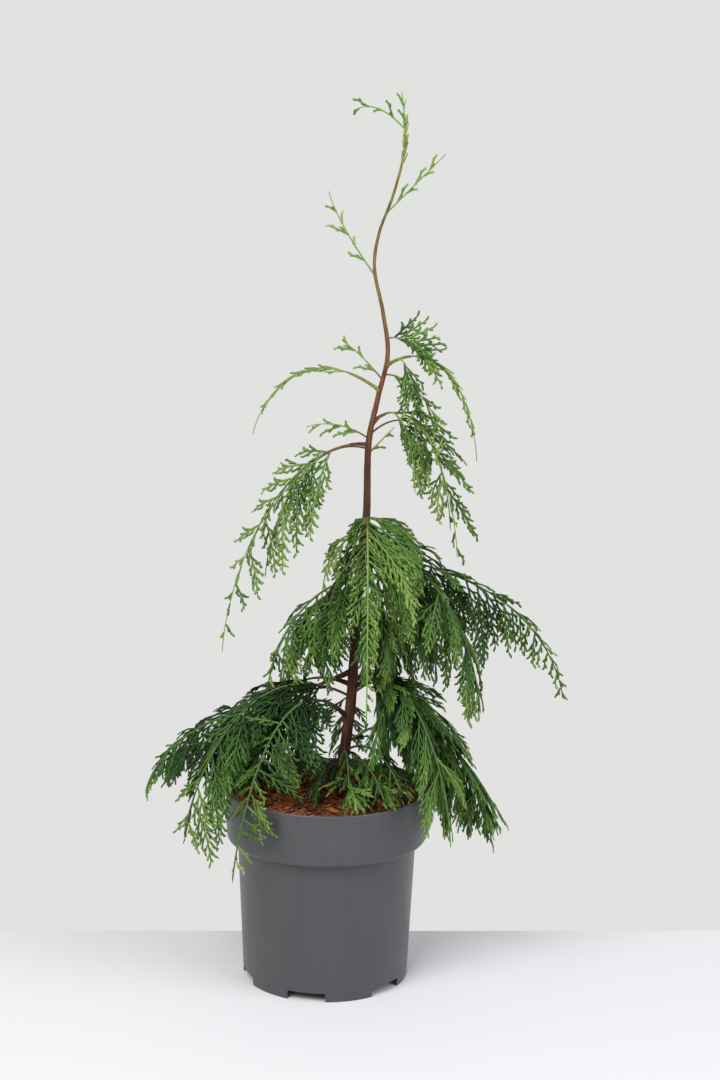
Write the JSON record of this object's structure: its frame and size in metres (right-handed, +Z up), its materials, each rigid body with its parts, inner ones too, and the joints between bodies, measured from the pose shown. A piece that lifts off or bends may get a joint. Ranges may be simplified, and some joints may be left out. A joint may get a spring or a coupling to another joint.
{
  "type": "potted weeping nootka cypress",
  "caption": "Young weeping cypress with a slim bent leader and drooping fronds of flat scaly sprays, growing in a round dark grey nursery pot with a deep collar.",
  "frame": {"origin": "centre of the pot's flat underside", "axes": "+Z up along the pot and the trunk, -Y towards the side shown in the picture, +X to its right"},
  "size_m": [0.4326, 0.2716, 0.869],
  "materials": {
    "pot": "satin moulded plastic",
    "potting_mix": "loose moist bark and fibre",
    "bark": "thin peeling bark",
    "foliage": "soft flat scaly sprays"
  },
  "bodies": {
    "root": {"bough_back": "bark", "bough_back_left": "bark", "bough_back_right": "bark", "bough_crown_low_right": "bark", "bough_crown_right": "bark", "bough_left": "bark", "bough_low_back": "bark", "bough_low_back_left": "bark", "bough_low_back_right": "bark", "bough_low_left": "bark", "bough_low_left_front": "bark", "bough_low_right": "bark", "bough_right": "bark", "bough_upper_left": "bark", "bough_upper_right": "bark", "foliage_back": "foliage", "foliage_back_left": "foliage", "foliage_back_right": "foliage", "foliage_crown_front_inner": "foliage", "foliage_crown_front_outer": "foliage", "foliage_crown_left": "foliage", "foliage_crown_low_right": "foliage", "foliage_crown_right_inner": "foliage", "foliage_crown_right_outer": "foliage", "foliage_fan_right": "foliage", "foliage_foot_front": "foliage", "foliage_foot_left": "foliage", "foliage_foot_right": "foliage", "foliage_foot_twig": "foliage", "foliage_leader_left": "foliage", "foliage_leader_tip": "foliage", "foliage_left_back": "foliage", "foliage_left_inner": "foliage", "foliage_left_low": "foliage", "foliage_left_outer": "foliage", "foliage_left_spray": "foliage", "foliage_low_back": "foliage", "foliage_low_back_left": "foliage", "foliage_low_back_right": "foliage", "foliage_low_left_front": "foliage", "foliage_low_left_inner": "foliage", "foliage_low_left_outer": "foliage", "foliage_low_left_rim": "foliage", "foliage_low_right_front": "foliage", "foliage_low_right_inner": "foliage", "foliage_low_right_outer": "foliage", "foliage_right_back": "foliage", "foliage_right_front": "foliage", "foliage_right_inner": "foliage", "foliage_right_outer": "foliage", "foliage_sprig": "foliage", "foliage_top_left": "foliage", "foliage_top_right": "foliage", "foliage_upper_curtain": "foliage", "foliage_upper_left": "foliage", "foliage_upper_left_spray": "foliage", "foliage_upper_right": "foliage", "pot": "pot", "potting_mix": "potting_mix", "trunk": "bark"}
  },
  "joints": []
}
